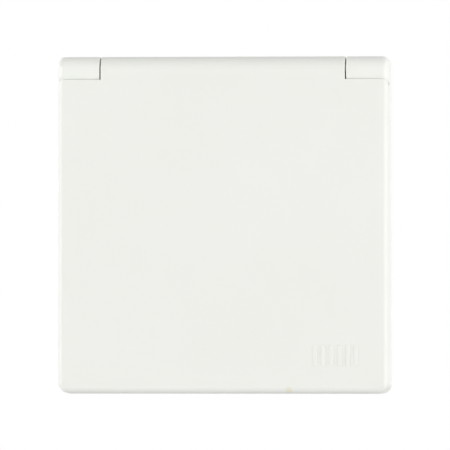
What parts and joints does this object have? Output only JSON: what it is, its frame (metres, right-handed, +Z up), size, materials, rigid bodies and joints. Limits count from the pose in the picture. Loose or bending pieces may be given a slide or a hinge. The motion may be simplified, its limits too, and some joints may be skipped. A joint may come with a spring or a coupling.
{
  "type": "wall socket with hinged splash lid",
  "caption": "Flush earthed two-pin wall socket with a square frame and a full-size spring-loaded splash lid hinged at the top, for a round box in the wall.",
  "frame": {"origin": "centre of the socket on the surface of the wall", "axes": "+X to the right as seen from the room, +Y into the wall, +Z up"},
  "size_m": [0.08, 0.0497, 0.0816],
  "materials": {
    "white_cover": "satin",
    "insulator": "matt",
    "shutter_plastic": "matt",
    "button_plastic": "matt",
    "seal_rubber": "matt",
    "zinc_steel": "zinc plated",
    "screw_steel": "plated",
    "spring_steel": "bright",
    "contact_brass": "satin"
  },
  "bodies": {
    "base": {"cover_frame": "white_cover", "hinge_pin": "screw_steel", "lid_spring": "spring_steel", "wall_seal": "seal_rubber", "socket_pot": "white_cover", "centre_screw": "screw_steel", "centre_nut": "screw_steel", "shutter_spring": "spring_steel", "earth_strap": "contact_brass", "live_contact": "contact_brass", "neutral_contact": "contact_brass", "live_clamp_spring": "spring_steel", "neutral_clamp_spring": "spring_steel", "earth_clamp_spring": "spring_steel", "base_body": "insulator", "contact_cover": "insulator", "rear_plate": "insulator", "rear_plate_screws": "screw_steel", "mounting_ring": "zinc_steel", "ring_rivets": "screw_steel"},
    "lid": {"lid": "white_cover", "lid_seal": "seal_rubber"},
    "shutter": {"shutter_rotor": "shutter_plastic"},
    "live_button": {"live_release_button": "button_plastic"},
    "neutral_button": {"neutral_release_button": "button_plastic"},
    "earth_button": {"earth_release_button": "button_plastic"},
    "claw_top_set": {"claw_top": "zinc_steel", "claw_screw_top": "screw_steel"},
    "claw_bottom_set": {"claw_bottom": "zinc_steel", "claw_screw_bottom": "screw_steel"}
  },
  "joints": [
    {"name": "lid_hinge", "type": "hinge", "parent": "base", "child": "lid", "pos_m": [0, -0.0143, 0.03755], "axis": [-1, 0, 0], "range_deg": [0, 110], "stiffness_Nm_per_rad": 0.012, "springref_deg": -45.84, "deforming": ["lid_spring"]},
    {"name": "shutter_turn", "type": "hinge", "parent": "base", "child": "shutter", "pos_m": [0, 0.0078, 0], "axis": [0, -1, 0], "range_deg": [0, 35], "stiffness_Nm_per_rad": 0.004, "springref_deg": -34.38, "deforming": ["shutter_spring"]},
    {"name": "live_button_slide", "type": "slide", "parent": "base", "child": "live_button", "axis": [0, -1, 0], "range_m": [0, 0.0015], "stiffness_N_per_m": 1500, "springref_m": -0.0005, "deforming": ["live_clamp_spring"]},
    {"name": "earth_button_slide", "type": "slide", "parent": "base", "child": "earth_button", "axis": [0, -1, 0], "range_m": [0, 0.0015], "stiffness_N_per_m": 1500, "springref_m": -0.0005, "deforming": ["earth_clamp_spring"]},
    {"name": "neutral_button_slide", "type": "slide", "parent": "base", "child": "neutral_button", "axis": [0, -1, 0], "range_m": [0, 0.0015], "stiffness_N_per_m": 1500, "springref_m": -0.0005, "deforming": ["neutral_clamp_spring"]},
    {"name": "claw_top_tilt", "type": "hinge", "parent": "base", "child": "claw_top_set", "pos_m": [0, -0.0012, 0.025], "axis": [1, 0, 0], "range_deg": [0, 12]},
    {"name": "claw_bottom_tilt", "type": "hinge", "parent": "base", "child": "claw_bottom_set", "pos_m": [0, -0.0012, -0.025], "axis": [-1, 0, 0], "range_deg": [0, 12]}
  ]
}
